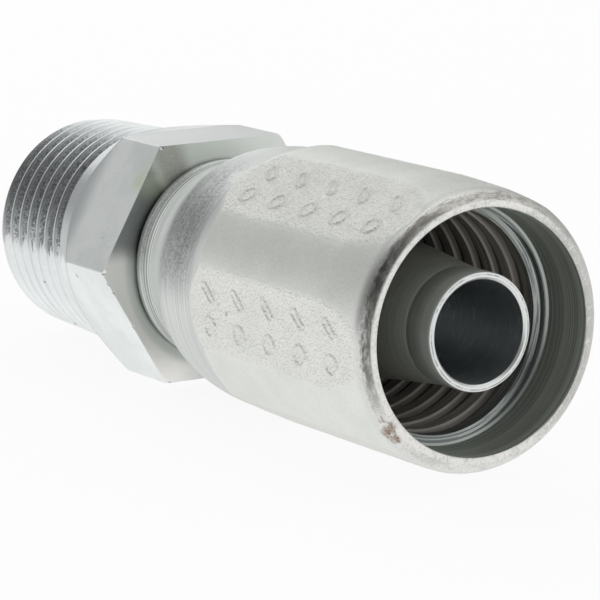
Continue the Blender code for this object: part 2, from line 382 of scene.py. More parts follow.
def close_helix(cutter):
    """Leave only the helix's skin, cap its two ends and turn its faces outwards."""
    shape = bmesh.new()
    shape.from_mesh(cutter.data)
    bmesh.ops.remove_doubles(shape, verts=shape.verts, dist=MERGE)
    inner = [face for face in shape.faces if len(face.verts) > 4]
    bmesh.ops.delete(shape, geom=inner, context="FACES_ONLY")
    loose = [edge for edge in shape.edges if not edge.link_faces]
    bmesh.ops.delete(shape, geom=loose, context="EDGES")
    open_edges = [edge for edge in shape.edges if edge.is_boundary]
    bmesh.ops.holes_fill(shape, edges=open_edges, sides=0)
    bmesh.ops.recalc_face_normals(shape, faces=shape.faces)
    shape.to_mesh(cutter.data)
    shape.free()


def cut(piece, cutter, operation="DIFFERENCE"):
    """Cut a piece with a cutter laid on the axis, and throw away the cutter and its empty slot."""
    cutter.data.transform(Matrix.Translation((RIM_X, 0, AXIS_HEIGHT)))
    pick(piece)
    step = piece.modifiers.new("cut", "BOOLEAN")
    step.operation = operation
    step.solver = "MANIFOLD"
    step.object = cutter
    bpy.ops.object.modifier_apply(modifier=step.name)
    piece.data.materials.clear()
    bpy.data.objects.remove(cutter, do_unlink=True)


grip_cutter = thread_cutter(
    "grip_cutter",
    GRIP_CREST,
    -GRIP_DEPTH,
    GRIP_ROOT,
    GRIP_PITCH,
    MOUTH_DEPTH - GRIP_PITCH * GRIP_SHIFT,
    GRIP_RELIEF_START - GRIP_PITCH * GRIP_SHIFT,
    True,
)
close_helix(grip_cutter)
cut(socket, grip_cutter)
neck_cutter = thread_cutter(
    "neck_cutter",
    NECK_BORE,
    -NECK_THREAD_DEPTH,
    NECK_THREAD_ROOT,
    NECK_THREAD_PITCH,
    floor_end - NECK_THREAD_LEAD,
    SOCKET_END + NECK_THREAD_PASS,
    False,
)
close_helix(neck_cutter)
cut(socket, neck_cutter)

# The forging dies leave the flats pebbled and a little uneven, with a row of plain raised bars and a row
# of plain raised rings on the two flats that face the front. The bands between the flats, and the nose,
# are rubbed smoother.
PEBBLE_SIZE = 0.90
PEBBLE_DEPTH = 0.050
PEBBLE_GAIN = 1.6
GRAIN_SIZE = 0.95
GRAIN_DEPTH = 0.030
DENT_SIZE = 3.4
DENT_DEPTH = 0.045
BAND_SKIN = 0.16
FLAT_EDGE = 0.10
MARK_HEIGHT = 0.10
MARK_EDGE = 0.15
MARK_LINE = 0.13
MARK_REACH = (1.7, 1.5)
MARK_COLUMNS = (24.5, 19.65, 14.8, 9.9, 5.0)
BAR_ROW = 1.5
BAR_HALF_LENGTH = 0.70
BAR_HALF_WIDTH = 0.38
RING_ROW = -1.6
RING_RADIUS = 0.85
MARKED_FLATS = (0, 5)
ROUGH_FLAT = 0
OTHER_FLAT_SHARE = 0.35
SKIN_END = SHOULDER_START + 3
SKIN_RISE_START = 0.7
SKIN_RISE_LENGTH = 0.8
FLAT_BLEND = 0.06
SOCKET_SMOOTH = math.radians(28)


def soft_least(first, second, blend):
    """The smaller of two radii, with the corner between them rounded over a blend."""
    share = max(0.0, min(1.0, 0.5 + 0.5 * (second - first) / blend))
    return second + (first - second) * share - blend * share * (1 - share)


def raised(distance):
    """Height share of a raised shape at a distance inside (negative) or outside its edge."""
    share = max(0.0, min(1.0, 0.5 - distance / MARK_EDGE))
    return share * share * (3 - 2 * share)


def ring_line(across, up):
    """Distance from the line of a plain raised ring."""
    return abs(math.hypot(across, up) - RING_RADIUS) - MARK_LINE


def bar_line(across, up):
    """Distance from the line round a plain slanting bar with round ends."""
    lengthwise = abs(across + up) * math.sqrt(0.5)
    sideways = (up - across) * math.sqrt(0.5)
    beyond = max(0.0, lengthwise - BAR_HALF_LENGTH)
    return abs(math.hypot(beyond, sideways) - BAR_HALF_WIDTH) - MARK_LINE


def skin_depth(place, flat_index):
    """How deep the forging skin lies at one point, in millimetres: its fine grain, and its wide dents."""
    pebble = 1 - min(1.0, noise.voronoi(place / (PEBBLE_SIZE * MM))[0][0] * PEBBLE_GAIN)
    grain = noise.noise(place / (GRAIN_SIZE * MM)) * 0.5 + 0.5
    dent = noise.noise(place / (DENT_SIZE * MM)) * 0.5 + 0.5
    coarse = 1.0 if flat_index == ROUGH_FLAT else OTHER_FLAT_SHARE
    return (1 - pebble) * PEBBLE_DEPTH * coarse + grain * GRAIN_DEPTH, dent * DENT_DEPTH


def mark_height(flat_index, station, across):
    """How far a raised shape stands over the skin of a marked flat, in millimetres."""
    if flat_index not in MARKED_FLATS:
        return 0.0
    offset = station - min(MARK_COLUMNS, key=lambda column: abs(column - station))
    shape = min(bar_line(offset, across - BAR_ROW), ring_line(offset, across - RING_ROW))
    return MARK_HEIGHT * raised(shape)


def on_flat(place):
    """Flat over a point, the point's station and radius, and its angle off the flat's middle."""
    radius, station = on_axis(place)
    turn = (math.atan2(place.y, place.z - AXIS_HEIGHT) - FLATS_TURN + math.pi / 6) % math.tau
    aside = turn % (math.pi / 3) - math.pi / 6
    return int(turn // (math.pi / 3)), station, radius, aside


def under_mark(face):
    """Whether a face lies where a raised shape will stand."""
    flat_index, station, radius, aside = on_flat(face.center)
    if flat_index not in MARKED_FLATS or radius < RIM_CURVE[-1][0]:
        return False
    across = radius * math.sin(aside)
    near_column = min(abs(column - station) for column in MARK_COLUMNS)
    near_row = min(abs(row - across) for row in (BAR_ROW, RING_ROW))
    return near_column < MARK_REACH[0] and near_row < MARK_REACH[1]


pick(socket)
bpy.ops.object.mode_set(mode="EDIT")
bpy.ops.mesh.select_mode(type="FACE")
bpy.ops.mesh.select_all(action="DESELECT")
bpy.ops.object.mode_set(mode="OBJECT")
for face in socket.data.polygons:
    face.select = under_mark(face)
bpy.ops.object.mode_set(mode="EDIT")
bpy.ops.mesh.subdivide(number_cuts=1)
bpy.ops.object.mode_set(mode="OBJECT")

forged = socket.data.attributes.new("forged", "FLOAT", "POINT")
flat = socket.data.attributes.new("flat", "FLOAT", "POINT")
for vertex in socket.data.vertices:
    flat_index, station, radius, aside = on_flat(vertex.co)
    if radius < RIM_CURVE[1][0] or station > SKIN_END:
        continue
    fine, dent = skin_depth(vertex.co, flat_index)
    mark = mark_height(flat_index, station, radius * math.sin(aside))
    flat_radius = FLAT_DISTANCE / math.cos(aside) - fine - dent + mark
    skin_rise = max(0.0, min(1.0, (station - SKIN_RISE_START) / SKIN_RISE_LENGTH))
    band_skin = skin_rise if station < BODY_END else 0.0
    band_radius = radius - fine * BAND_SKIN * band_skin
    new_radius = soft_least(band_radius, flat_radius, FLAT_EDGE)
    vertex.co.y *= new_radius / radius
    vertex.co.z = AXIS_HEIGHT + (vertex.co.z - AXIS_HEIGHT) * new_radius / radius
    flat_share = max(0.0, min(1.0, (band_radius - flat_radius) / FLAT_BLEND + 0.5)) * skin_rise
    forged.data[vertex.index].value = max(flat_share, band_skin)
    flat.data[vertex.index].value = flat_share

pick(socket)
bpy.ops.object.shade_smooth_by_angle(angle=SOCKET_SMOOTH)


# Socket finish: dull zinc plate with a faint yellow green bloom. The forged skin is grainy, the turned
# faces keep their tool lines, and the rim's chamfer is dirty and scuffed. The low front flat carries
# painted light, and the shoulder and the collar's end carry painted shade on the front's upper side.
def finish_group(name, inputs, outputs):
    """Start a shader node group with named inputs and outputs, and its two end nodes."""
    group = bpy.data.node_groups.new(name, "ShaderNodeTree")
    for label, value in inputs:
        entry = group.interface.new_socket(label, in_out="INPUT", socket_type="NodeSocketFloat")
        entry.default_value = value
    for label in outputs:
        group.interface.new_socket(label, in_out="OUTPUT", socket_type="NodeSocketFloat")
    return group, group.nodes.new("NodeGroupInput"), group.nodes.new("NodeGroupOutput")


def calculate(tree, operation, first, second=0.5, third=0.5, clamp=False):
    """Math node of two or three values or links."""
    step = tree.nodes.new("ShaderNodeMath")
    step.operation = operation
    step.use_clamp = clamp
    for entry, value in zip(step.inputs, (first, second, third)):
        if isinstance(value, bpy.types.NodeSocket):
            tree.links.new(value, entry)
        else:
            entry.default_value = value
    return step.outputs[0]


def times(tree, *factors):
    """Product of two or more values or links."""
    product = factors[0]
    for factor in factors[1:]:
        product = calculate(tree, "MULTIPLY", product, factor)
    return product


def give_out(group, group_out, results):
    """Link a group's results to its outputs of the same names."""
    for label, value in results.items():
        group.links.new(value, group_out.inputs[label])


def fade(tree, value, low, high, start=0.0, end=1.0):
    """Turn a value between low and high into one between start and end, smoothly."""
    step = tree.nodes.new("ShaderNodeMapRange")
    step.interpolation_type = "SMOOTHSTEP"
    tree.links.new(value, step.inputs["Value"])
    for label, number in (("From Min", low), ("From Max", high), ("To Min", start), ("To Max", end)):
        step.inputs[label].default_value = number
    return step.outputs["Result"]


def speckle(tree, vector, size, detail=2.0, roughness=0.5):
    """Noise with features of a size in metres."""
    step = tree.nodes.new("ShaderNodeTexNoise")
    step.inputs["Detail"].default_value = detail
    step.inputs["Roughness"].default_value = roughness
    if isinstance(size, bpy.types.NodeSocket):
        tree.links.new(calculate(tree, "DIVIDE", 1.0, size), step.inputs["Scale"])
    else:
        step.inputs["Scale"].default_value = 1 / size
    tree.links.new(vector, step.inputs["Vector"])
    return step.outputs["Fac"]


def tint(tree, share, first, second):
    """Mix two colours, or links, by a share."""
    step = tree.nodes.new("ShaderNodeMix")
    step.data_type = "RGBA"
    tree.links.new(share, step.inputs["Factor"])
    for entry, value in zip((step.inputs[6], step.inputs[7]), (first, second)):
        if isinstance(value, bpy.types.NodeSocket):
            tree.links.new(value, entry)
        else:
            entry.default_value = (*value, 1)
    return step.outputs[2]


# Sizes of the wear, and of the speckle that breaks up the painted shade, in metres.
WOBBLE_SIZE = 0.006
WOBBLE_DEPTH = 0.00008
STREAK_SIZE = 0.00022
SMEAR_SIZE = 0.00030
SMEAR_SCALE = (1, 0.22, 0.22)
PIT_SPACING = 0.0042
PEBBLE_CELL = 0.00026

# Where a point lies on the turned work, and the fine rings that the tool leaves there.
turning, turning_in, turning_out = finish_group(
    "turning", [("Ring Width", 0.00012)], ["Station", "Radius", "Turn", "Rings", "Streaks", "Smears"]
)
place = turning.nodes.new("ShaderNodeTexCoord").outputs["Object"]
parts = turning.nodes.new("ShaderNodeSeparateXYZ")
turning.links.new(place, parts.inputs[0])
height = calculate(turning, "SUBTRACT", parts.outputs["Z"], AXIS_HEIGHT)
squares = calculate(
    turning,
    "ADD",
    times(turning, parts.outputs["Y"], parts.outputs["Y"]),
    times(turning, height, height),
)
ring_radius = calculate(turning, "SQRT", squares)
ring_station = calculate(turning, "SUBTRACT", RIM_X, parts.outputs["X"])
ring_place = turning.nodes.new("ShaderNodeCombineXYZ")
turning.links.new(ring_station, ring_place.inputs[0])
turning.links.new(ring_radius, ring_place.inputs[1])
wobble = times(turning, speckle(turning, place, WOBBLE_SIZE), WOBBLE_DEPTH)
turning.links.new(wobble, ring_place.inputs[2])
rings = speckle(turning, ring_place.outputs[0], turning_in.outputs["Ring Width"], 3.0, 0.6)
streaks = speckle(turning, ring_place.outputs[0], STREAK_SIZE, 4.0, 0.65)
turned_angle = calculate(turning, "ARCTAN2", parts.outputs["Y"], height)
drawn_out = turning.nodes.new("ShaderNodeMapping")
drawn_out.inputs["Scale"].default_value = SMEAR_SCALE
turning.links.new(place, drawn_out.inputs["Vector"])
smears = speckle(turning, drawn_out.outputs["Vector"], SMEAR_SIZE, 4.0, 0.7)
turned = {
    "Station": calculate(turning, "DIVIDE", ring_station, MM),
    "Radius": calculate(turning, "DIVIDE", ring_radius, MM),
    "Turn": calculate(turning, "DEGREES", turned_angle),
    "Rings": rings,
    "Streaks": streaks,
    "Smears": smears,
}
give_out(turning, turning_out, turned)

# The cloudy bloom of the plating, its fine crystal grain, rounded pebbles and small dark pits.
bloom, bloom_in, bloom_out = finish_group(
    "zinc_bloom",
    [("Cloud Size", 0.004), ("Grain Size", 0.00022)],
    ["Cloud", "Grain", "Pebbles", "Pits"],
)
place = bloom.nodes.new("ShaderNodeTexCoord").outputs["Object"]
cloud = fade(bloom, speckle(bloom, place, bloom_in.outputs["Cloud Size"], 5.0, 0.62), 0.30, 0.70)
grain = speckle(bloom, place, bloom_in.outputs["Grain Size"], 3.0, 0.6)
cells = bloom.nodes.new("ShaderNodeTexVoronoi")
cells.inputs["Scale"].default_value = 1 / PIT_SPACING
bloom.links.new(place, cells.inputs["Vector"])
cell_parts = bloom.nodes.new("ShaderNodeSeparateXYZ")
bloom.links.new(cells.outputs["Color"], cell_parts.inputs[0])
pit_near = fade(bloom, cells.outputs["Distance"], 0.035, 0.075, 1.0, 0.0)
pits = times(bloom, pit_near, fade(bloom, cell_parts.outputs["X"], 0.50, 0.54))
pebble_cells = bloom.nodes.new("ShaderNodeTexVoronoi")
pebble_cells.feature = "SMOOTH_F1"
pebble_cells.inputs["Scale"].default_value = 1 / PEBBLE_CELL
pebble_cells.inputs["Smoothness"].default_value = 0.35
bloom.links.new(place, pebble_cells.inputs["Vector"])
pebbles = fade(bloom, pebble_cells.outputs["Distance"], 0.10, 0.62, 1.0, 0.0)
give_out(bloom, bloom_out, {"Cloud": cloud, "Grain": grain, "Pebbles": pebbles, "Pits": pits})


def zinc_start(name, ring_width, cloud_size):
    """Start a metal material that has the turning and the bloom groups in it."""
    zinc = bpy.data.materials.new(name)
    zinc.use_nodes = True
    tree = zinc.node_tree
    rings = tree.nodes.new("ShaderNodeGroup")
    rings.node_tree = turning
    rings.inputs["Ring Width"].default_value = ring_width
    clouds = tree.nodes.new("ShaderNodeGroup")
    clouds.node_tree = bloom
    clouds.inputs["Cloud Size"].default_value = cloud_size
    shader = tree.nodes["Principled BSDF"]
    shader.inputs["Metallic"].default_value = 1
    return zinc, tree, rings.outputs, clouds.outputs, shader


def raise_surface(tree, shader, layers):
    """Chain bumps, each a height and its depth in metres, into the shader's normal."""
    normal = None
    for level, depth in layers:
        bump = tree.nodes.new("ShaderNodeBump")
        bump.inputs["Strength"].default_value = 1
        bump.inputs["Distance"].default_value = depth
        tree.links.new(level, bump.inputs["Height"])
        if normal:
            tree.links.new(normal, bump.inputs["Normal"])
        normal = bump.outputs["Normal"]
    tree.links.new(normal, shader.inputs["Normal"])


def between(tree, value, low, high, soft):
    """Mask of the values between low and high, with soft ends."""
    rise = fade(tree, value, low - soft, low + soft)
    fall = fade(tree, value, high - soft, high + soft, 1.0, 0.0)
    return times(tree, rise, fall)


FLAT_LIGHT = (0.85, 0.85, 0.815)
FLAT_DULL = (0.72, 0.735, 0.695)
LOW_FLAT_LIT = (0.95, 0.95, 0.915)
LOW_FLAT_LIT_DULL = (0.83, 0.845, 0.80)
BAND_LIGHT = (0.89, 0.91, 0.865)
BAND_DULL = (0.78, 0.805, 0.76)
TURNED_LIGHT = (0.80, 0.82, 0.80)
TURNED_DULL = (0.60, 0.63, 0.61)
COLLAR_LIGHT = (0.90, 0.92, 0.90)
COLLAR_DULL = (0.33, 0.36, 0.34)
FRONT_SHADE = (0.235, 0.245, 0.245)
NECK_LIGHT = (0.70, 0.73, 0.71)
SCUFF_DARK = (0.20, 0.20, 0.19)
SCUFF_BROWN = (0.36, 0.345, 0.31)
RIM_LIGHT = (0.84, 0.835, 0.81)
RIM_DULL = (0.56, 0.56, 0.54)
RUST = (0.17, 0.11, 0.075)
RUST_PALE = (0.42, 0.335, 0.28)
# Each mask of turns round the axis, in degrees: first, last, softness. The front is at -90.
LOW_FLAT_LIT_TURNS = (-128, -63, 3)
SHOULDER_TURNS = (-87, -22, 12)
RIM_FAR_TURNS = (35, 145, 25)
SCUFF_FRONT_TURNS = (-112, -40, 16)
SCUFF_TOP_TURNS = (-45, 40, 14)
RUST_SPOTS = (((-10.0, -6.3), 0.7), ((-9.3, -7.1), 1.0), ((-8.7, -8.0), 0.9))

socket_zinc, tree, ring, cloud, shader = zinc_start("socket_zinc", 0.00014, 0.0035)
forged = tree.nodes.new("ShaderNodeAttribute")
forged.attribute_name = "forged"
forged = forged.outputs["Fac"]
flat = tree.nodes.new("ShaderNodeAttribute")
flat.attribute_name = "flat"
flat = flat.outputs["Fac"]
smooth = calculate(tree, "SUBTRACT", 1.0, forged, clamp=True)
mottle = calculate(tree, "MULTIPLY_ADD", cloud["Cloud"], 0.16, cloud["Grain"])
mottle = fade(tree, mottle, 0.32, 0.82)
flat_color = tint(tree, mottle, FLAT_DULL, FLAT_LIGHT)
# Painted light: the low front flat takes a lighter copy of the flat colours.
low_flat_lit_color = tint(tree, mottle, LOW_FLAT_LIT_DULL, LOW_FLAT_LIT)
flat_color = tint(tree, between(tree, ring["Turn"], *LOW_FLAT_LIT_TURNS), flat_color, low_flat_lit_color)
band_color = tint(tree, mottle, BAND_DULL, BAND_LIGHT)
turned_color = tint(tree, fade(tree, ring["Streaks"], 0.35, 0.65), TURNED_DULL, TURNED_LIGHT)
# Painted shade: the shoulder is darkened on the front's upper side, broken up by speckle.
front_side = between(tree, ring["Turn"], *SHOULDER_TURNS)
shade_speckle = calculate(tree, "MULTIPLY_ADD", ring["Smears"], 0.5, cloud["Grain"])
shoulder_shade = times(
    tree,
    fade(tree, ring["Station"], BODY_END, 30.4),
    front_side,
    fade(tree, shade_speckle, 0.56, 0.92, 0.95, 0.45),
)
turned_color = tint(tree, shoulder_shade, turned_color, FRONT_SHADE)
neck_share = fade(tree, ring["Station"], 33.5, 35.5)
turned_color = tint(tree, neck_share, turned_color, NECK_LIGHT)
collar_share = fade(tree, ring["Station"], COLLAR_START, COLLAR_START + 0.15)
tree.links.new(calculate(tree, "MULTIPLY_ADD", neck_share, -0.80, 1.0), shader.inputs["Metallic"])
collar_color = tint(tree, fade(tree, ring["Streaks"], 0.42, 0.60), COLLAR_DULL, COLLAR_LIGHT)
turned_color = tint(tree, collar_share, turned_color, collar_color)
# Painted shade on the collar's end beside the hexagon, on the front's upper side.
collar_shade = times(
    tree,
    front_side,
    fade(tree, ring["Station"], 39.9, 40.9),
    fade(tree, shade_speckle, 0.56, 0.92, 0.85, 0.35),
)
turned_color = tint(tree, collar_shade, turned_color, FRONT_SHADE)
color = tint(tree, forged, turned_color, tint(tree, flat, band_color, flat_color))
# The rim is grainy, with dark scuffs round the front of its chamfer and brown ones over its top.
rim_share = fade(tree, ring["Station"], 0.5, 1.3, 1.0, 0.0)
rim_mottle = calculate(tree, "MULTIPLY_ADD", ring["Smears"], 0.8, cloud["Grain"])
rim_turned = times(tree, between(tree, ring["Turn"], *RIM_FAR_TURNS), 0.30)
rim_mottle = calculate(tree, "SUBTRACT", rim_mottle, rim_turned)
rim_color = tint(tree, fade(tree, rim_mottle, 0.55, 1.0), RIM_DULL, RIM_LIGHT)
color = tint(tree, rim_share, color, rim_color)
scuff_reach = calculate(tree, "MULTIPLY_ADD", ring["Smears"], -0.9, ring["Station"])
scuff_band = times(
    tree,
    fade(tree, scuff_reach, -0.05, 0.30, 1.0, 0.0),
    fade(tree, ring["Station"], 0.03, 0.12),
)
for turns, wear, scuff_color in (
    (SCUFF_FRONT_TURNS, (0.36, 0.58, 0.35, 1.0), SCUFF_DARK),
    (SCUFF_TOP_TURNS, (0.42, 0.60, 0.25, 0.95), SCUFF_BROWN),
):
    scuff = times(tree, between(tree, ring["Turn"], *turns), fade(tree, ring["Smears"], *wear))
    color = tint(tree, times(tree, scuff_band, scuff), color, scuff_color)
scuff_round = fade(tree, cloud["Cloud"], 0.45, 0.85, 0.0, 0.30)
color = tint(tree, times(tree, scuff_band, scuff_round), color, SCUFF_BROWN)
rust = None
for (rust_y, rust_z), rust_size in RUST_SPOTS:
    rust_place = tree.nodes.new("ShaderNodeVectorMath")
    rust_place.operation = "DISTANCE"
    tree.links.new(tree.nodes.new("ShaderNodeTexCoord").outputs["Object"], rust_place.inputs[0])
    rust_place.inputs[1].default_value = (RIM_X - 0.0004, rust_y * MM, AXIS_HEIGHT + rust_z * MM)
    rust_reach = calculate(
        tree, "MULTIPLY_ADD", ring["Smears"], 0.0022, rust_place.outputs["Value"]
    )
    spot = fade(tree, rust_reach, (rust_size + 0.35) * MM, (rust_size + 0.95) * MM, 0.85, 0.0)
    rust = calculate(tree, "MAXIMUM", rust, spot) if rust else spot
rust_color = tint(tree, fade(tree, cloud["Grain"], 0.40, 0.60), RUST, RUST_PALE)
color = tint(tree, rust, color, rust_color)
color = tint(tree, times(tree, cloud["Pits"], 0.5), color, SCUFF_DARK)
tree.links.new(color, shader.inputs["Base Color"])
rough_skin = fade(tree, cloud["Grain"], 0.3, 0.7, 0.40, 0.56)
rough_turned = fade(tree, ring["Rings"], 0.3, 0.7, 0.34, 0.46)
rough = tree.nodes.new("ShaderNodeMix")
tree.links.new(forged, rough.inputs["Factor"])
tree.links.new(rough_turned, rough.inputs[2])
tree.links.new(rough_skin, rough.inputs[3])
tree.links.new(rough.outputs[0], shader.inputs["Roughness"])
skin_share = times(tree, calculate(tree, "MULTIPLY_ADD", flat, 0.7, 0.3), forged)
skin_grain = times(tree, cloud["Grain"], skin_share)
pebble_rise = times(tree, cloud["Pebbles"], times(tree, flat, forged))
tool_lines = times(tree, ring["Rings"], smooth)
raise_surface(
    tree, shader, [(pebble_rise, 0.000042), (skin_grain, 0.000075), (tool_lines, 0.000008)]
)

MOUTH_LIGHT = (0.66, 0.70, 0.64)
MOUTH_DARK = (0.42, 0.45, 0.41)
LEAD_LIGHT = (0.52, 0.55, 0.54)
LEAD_DARK = (0.16, 0.18, 0.175)
GRIP_LIGHT = (0.50, 0.47, 0.43)
GRIP_DARK = (0.32, 0.29, 0.26)
GRIP_GROOVE_SHADE = (0.15, 0.135, 0.12)
MOUTH_FINISH_END = GRIP_RELIEF_END + 1.7
BORE_SLACK = 0.02

mouth_zinc, tree, ring, cloud, shader = zinc_start("mouth_zinc", 0.00022, 0.005)
ring_share = fade(tree, ring["Streaks"], 0.42, 0.58)
mouth_color = tint(tree, ring_share, MOUTH_DARK, MOUTH_LIGHT)
grip_color = tint(tree, ring_share, GRIP_DARK, GRIP_LIGHT)
# Painted shade: the grip thread is darker down in its grooves.
grip_depth = fade(tree, ring["Radius"], GRIP_CREST + 0.05, GRIP_CREST + 0.3)
grip_color = tint(tree, grip_depth, grip_color, GRIP_GROOVE_SHADE)
lead_color = tint(tree, ring_share, LEAD_DARK, LEAD_LIGHT)
grip_color = tint(tree, fade(tree, ring["Station"], 6.0, 9.0), lead_color, grip_color)
grip_share = fade(tree, ring["Station"], MOUTH_DEPTH - 0.1, MOUTH_DEPTH + 0.2)
color = tint(tree, grip_share, mouth_color, grip_color)
tree.links.new(fade(tree, ring["Station"], 6.5, 9.0, 0.75, 0.25), shader.inputs["Metallic"])
tree.links.new(color, shader.inputs["Base Color"])
tree.links.new(fade(tree, ring["Rings"], 0.3, 0.7, 0.30, 0.42), shader.inputs["Roughness"])
raise_surface(tree, shader, [(ring["Rings"], 0.000008), (cloud["Grain"], 0.000003)])

socket.data.materials.append(socket_zinc)
socket.data.materials.append(mouth_zinc)
for face in socket.data.polygons:
    radius, station = on_axis(face.center)
    neck_inside = station > SHOULDER_START and radius < NECK_BORE + COLLAR_STEP
    mouth_inside = RIM_EDGE < station < MOUTH_FINISH_END and radius < RIM_INNER + BORE_SLACK
    face.material_index = int(neck_inside or mouth_inside)

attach(socket, "socket")
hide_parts("socket")

# Nipple: one piece turned from hexagonal steel bar, drilled right through and zinc plated. Its tail wedges
# the hose from inside, its machine thread screws into the socket, and its taper thread seals in a pipe.
TIP_STATION = 0.5
TIP_RADIUS = 5.08
TIP_ROUND = 0.22
TIP_BORE_ROUND = 0.17
TAIL_TAPER_START = 4.0
TAIL_RADIUS = 6.3
TAIL_TAPER = math.tan(math.radians(6.2))
TAIL_LINE_DEPTH = 0.02
TAIL_LINE_START = 0.05
TAIL_LINE_END = 0.08
NIPPLE_BORE = 4.45
SCREW_START = 31.6
SCREW_RADIUS = 7.5
SCREW_END = 40.5
SCREW_ROUND = 0.6
SCREW_RELIEF = 6.9
HEX_START = 42.1
HEX_LENGTH = 6.9
HEX_FLAT_DISTANCE = 11.0
HEX_CORNER = HEX_FLAT_DISTANCE / math.cos(math.pi / 6)
HEX_CHAMFER_RADIUS = 12.45
HEX_EDGE = 0.11
NEAR_CHAMFER_SLOPE = math.tan(math.radians(30))
FAR_CHAMFER_SLOPE = math.tan(math.radians(60))
BLANK_MARGIN = 0.3
BAR_SPARE = 4
PIPE_START = 52.6402
PIPE_LENGTH = 14.5
PIPE_CREST = 10.6
PIPE_TAPER = 1 / 32
PIPE_PITCH = 25.4 / 14
PIPE_DEPTH = 1.15
PIPE_ROOT = 0.26
PIPE_SHIFT = 0.35
PIPE_CHAMFER = 0.6
BORE_CHAMFER = 0.5
CONE_SLOPE = math.tan(math.radians(30))
PIPE_RUN_OUT = PIPE_PITCH * 1.2
NIPPLE_END = PIPE_START + PIPE_LENGTH
NIPPLE_STEPS = 240
NIPPLE_SMOOTH = math.radians(24)

blank_radius = HEX_CORNER + BLANK_MARGIN
near_chamfer = (blank_radius - HEX_CHAMFER_RADIUS) * NEAR_CHAMFER_SLOPE
far_chamfer = (blank_radius - HEX_CORNER) * FAR_CHAMFER_SLOPE
taper_end = TAIL_TAPER_START + (TAIL_RADIUS - TIP_RADIUS) / TAIL_TAPER
pipe_end_radius = PIPE_CREST - PIPE_LENGTH * PIPE_TAPER
nipple_outline = [
    (NIPPLE_BORE + TIP_BORE_ROUND, TIP_STATION),
    (TIP_RADIUS - TIP_ROUND, TIP_STATION),
    (TIP_RADIUS - TIP_ROUND * 0.3, TIP_STATION + TIP_ROUND * 0.3),
    (TIP_RADIUS, TIP_STATION + TIP_ROUND),
    (TIP_RADIUS, TAIL_TAPER_START - TAIL_LINE_START),
    (TIP_RADIUS - TAIL_LINE_DEPTH, TAIL_TAPER_START),
    (TIP_RADIUS + TAIL_LINE_DEPTH, TAIL_TAPER_START + TAIL_LINE_END),
    (TAIL_RADIUS, taper_end),
    (TAIL_RADIUS, SCREW_START - 2 * SCREW_ROUND),
    (SCREW_RADIUS - SCREW_ROUND, SCREW_START - SCREW_ROUND),
    (SCREW_RADIUS, SCREW_START),
    (SCREW_RADIUS, SCREW_END - SCREW_ROUND),
    (SCREW_RELIEF, SCREW_END),
    (SCREW_RELIEF, HEX_START),
    (HEX_CHAMFER_RADIUS, HEX_START),
    (blank_radius, HEX_START + near_chamfer),
    (blank_radius, HEX_START + HEX_LENGTH - far_chamfer),
    (PIPE_CREST, PIPE_START),
    (pipe_end_radius, NIPPLE_END - PIPE_CHAMFER),
    (pipe_end_radius - PIPE_CHAMFER, NIPPLE_END),
    (NIPPLE_BORE + BORE_CHAMFER, NIPPLE_END),
    (NIPPLE_BORE, NIPPLE_END - BORE_CHAMFER),
    (NIPPLE_BORE, TIP_STATION + TIP_BORE_ROUND),
]
nipple = turned_piece("turned_nipple", nipple_outline, NIPPLE_STEPS)

bpy.ops.object.select_all(action="DESELECT")
bpy.ops.mesh.primitive_cylinder_add(
    vertices=6,
    radius=HEX_CORNER * MM,
    depth=(NIPPLE_END + BAR_SPARE) * MM,
    location=(-NIPPLE_END / 2 * MM, 0, 0),
    rotation=(0, math.pi / 2, 0),
)
bar = bpy.context.object
bpy.ops.object.transform_apply(location=True, rotation=True, scale=True)
bpy.ops.object.mode_set(mode="EDIT")
bpy.ops.mesh.select_mode(type="EDGE")
bpy.ops.mesh.select_all(action="DESELECT")
bpy.ops.object.mode_set(mode="OBJECT")
for edge in bar.data.edges:
    ends = [bar.data.vertices[index].co.x for index in edge.vertices]
    edge.select = abs(ends[0] - ends[1]) > MM
bpy.ops.object.mode_set(mode="EDIT")
bpy.ops.mesh.bevel(offset=HEX_EDGE * MM, segments=2, affect="EDGES")
bpy.ops.object.mode_set(mode="OBJECT")
cut(nipple, bar, "INTERSECT")

# Nicks and burrs along the hexagon's near edge, and two small pits, each cut with a little rough ball.
NICKS = (
    (HEX_START, -6.24, 10.95, 0.30),
    (HEX_START + 0.1, -7.00, 10.45, 0.22),
    (HEX_START, -8.30, 8.16, 0.16),
    (HEX_START + 0.05, -10.42, 4.65, 0.20),
    (HEX_START, -11.30, 2.95, 0.15),
    (HEX_START, -12.50, 0.05, 0.26),
    (HEX_START + 0.1, -12.05, -1.10, 0.20),
    (HEX_START, -11.62, -1.88, 0.16),
    (HEX_START, -9.60, -5.30, 0.18),
    (HEX_START, -6.00, -10.92, 0.28),
    (HEX_START, -4.60, -11.00, 0.20),
    (HEX_START + 2.66, -11.11, 2.76, 0.14),
    (PIPE_START + 8.92, -10.05, -2.42, 0.26),
    (PIPE_START + 6.40, -9.70, -3.70, 0.16),
)
bpy.ops.object.select_all(action="DESELECT")
balls = []
for index, (station, aside, up, size) in enumerate(NICKS):
    bpy.ops.mesh.primitive_ico_sphere_add(
        subdivisions=2, radius=size * MM, location=(-station * MM, aside * MM, up * MM)
    )
    ball = bpy.context.object
    for vertex in ball.data.vertices:
        vertex.co *= 1 + 0.5 * noise.noise(vertex.co / (size * MM) + Vector((index, 0, 0)))
    balls.append(ball)
pick(*balls)
bpy.ops.object.join()
bpy.ops.object.transform_apply(location=True, rotation=True, scale=True)
cut(nipple, balls[0])

